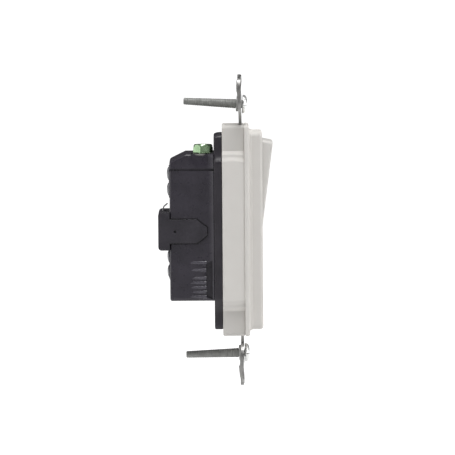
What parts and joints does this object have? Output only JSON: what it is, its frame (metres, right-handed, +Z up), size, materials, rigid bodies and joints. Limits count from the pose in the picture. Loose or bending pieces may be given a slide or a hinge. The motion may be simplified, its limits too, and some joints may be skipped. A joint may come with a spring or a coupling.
{
  "type": "decorator rocker wall switch",
  "caption": "Decorator wall switch: a rocker paddle in a flanged white housing on a steel strap, with a black rear body, side terminals and a green ground screw.",
  "frame": {"origin": "on the wall plane, which is the back of the strap's ears, midway between the mounting screws", "axes": "+X out of the wall towards the user, +Z up along the strap, +Y across"},
  "size_m": [0.0391, 0.042, 0.1038],
  "materials": {
    "white_plastic": "smooth moulded nylon, satin gloss",
    "black_plastic": "fine moulded texture, low sheen",
    "strap_steel": "zinc plated sheet, satin",
    "screw_steel": "zinc plated, rolled thread",
    "clamp_steel": "zinc plated, satin",
    "spring_steel": "bright strip and wire",
    "brass": "stamped brass, satin",
    "contact_silver": "silver alloy contact face",
    "green_steel": "green dyed plating, glossy",
    "rivet_grey": "dull grey rivet head",
    "washer_fibre": "white retaining washer"
  },
  "bodies": {
    "device": {"mounting_strap": "strap_steel", "front_housing": "white_plastic", "middle_housing": "white_plastic", "separator_plate": "black_plastic", "back_body": "black_plastic", "rear_clip": "black_plastic", "clip_spring": "spring_steel", "line_terminal": "brass", "load_terminal": "brass", "fixed_contact": "contact_silver", "line_wire_spring": "spring_steel", "load_wire_spring": "spring_steel", "assembly_screw_1": "screw_steel", "assembly_screw_2": "screw_steel", "assembly_screw_3": "screw_steel", "assembly_screw_4": "screw_steel", "terminal_rivet_1": "rivet_grey", "terminal_rivet_2": "rivet_grey", "terminal_rivet_3": "rivet_grey", "terminal_rivet_4": "rivet_grey"},
    "rocker": {"rocker_paddle": "white_plastic", "actuator_spring": "spring_steel"},
    "plunger": {"actuator_plunger": "white_plastic"},
    "bridge": {"contact_bridge": "brass", "moving_contact": "contact_silver"},
    "line_clamp": {"line_clamp_plate": "clamp_steel"},
    "line_screw": {"line_terminal_screw": "brass"},
    "load_clamp": {"load_clamp_plate": "clamp_steel"},
    "load_screw": {"load_terminal_screw": "brass"},
    "ground_clamp": {"ground_clamp": "clamp_steel"},
    "ground_screw": {"ground_screw": "green_steel"},
    "mounting_screw_top": {"mounting_screw_top": "screw_steel", "captive_washer_top": "washer_fibre"},
    "mounting_screw_bottom": {"mounting_screw_bottom": "screw_steel", "captive_washer_bottom": "washer_fibre"}
  },
  "joints": [
    {"name": "rocker_tilt", "type": "hinge", "parent": "device", "child": "rocker", "pos_m": [0.0036, 0, 0], "axis": [0, -1, 0], "range_deg": [0, 7.4]},
    {"name": "plunger_slide", "type": "slide", "parent": "rocker", "child": "plunger", "axis": [0.9979, 0, -0.0645], "range_m": [0, 0.0003], "stiffness_N_per_m": 300, "springref_m": -0.002},
    {"name": "bridge_seesaw", "type": "hinge", "parent": "device", "child": "bridge", "pos_m": [-0.0122, 0, 0], "axis": [0, 1, 0], "range_deg": [0, 16.3]},
    {"name": "line_clamp_travel", "type": "slide", "parent": "device", "child": "line_clamp", "axis": [0, 1, 0], "range_m": [0, 0.002]},
    {"name": "line_screw_turn", "type": "hinge", "parent": "line_clamp", "child": "line_screw", "pos_m": [-0.016, 0.0152, 0.012], "axis": [0, 1, 0], "range_deg": [0, 907]},
    {"name": "load_clamp_travel", "type": "slide", "parent": "device", "child": "load_clamp", "axis": [0, 1, 0], "range_m": [0, 0.002]},
    {"name": "load_screw_turn", "type": "hinge", "parent": "load_clamp", "child": "load_screw", "pos_m": [-0.016, 0.0152, -0.012], "axis": [0, 1, 0], "range_deg": [0, 907]},
    {"name": "ground_clamp_travel", "type": "slide", "parent": "device", "child": "ground_clamp", "axis": [0, 0, 1], "range_m": [0, 0.002]},
    {"name": "ground_screw_turn", "type": "hinge", "parent": "ground_clamp", "child": "ground_screw", "pos_m": [-0.0124, -0.0105, 0.0263], "axis": [0, 0, 1], "range_deg": [0, 907]},
    {"name": "mounting_screw_top_turn", "type": "hinge", "parent": "device", "child": "mounting_screw_top", "pos_m": [0, 0, 0.04235], "axis": [0.9983, 0, -0.0576], "continuous": true},
    {"name": "mounting_screw_bottom_turn", "type": "hinge", "parent": "device", "child": "mounting_screw_bottom", "pos_m": [0, 0, -0.042], "axis": [0.9996, 0, 0.0297], "continuous": true}
  ],
  "couplings": [
    {"joint": "bridge_seesaw", "follows": "rocker_tilt", "ratio": 2.2},
    {"joint": "line_screw_turn", "follows": "line_clamp_travel", "rad_per_m": 7913.3},
    {"joint": "load_screw_turn", "follows": "load_clamp_travel", "rad_per_m": 7913.3},
    {"joint": "ground_screw_turn", "follows": "ground_clamp_travel", "rad_per_m": 7913.3}
  ]
}
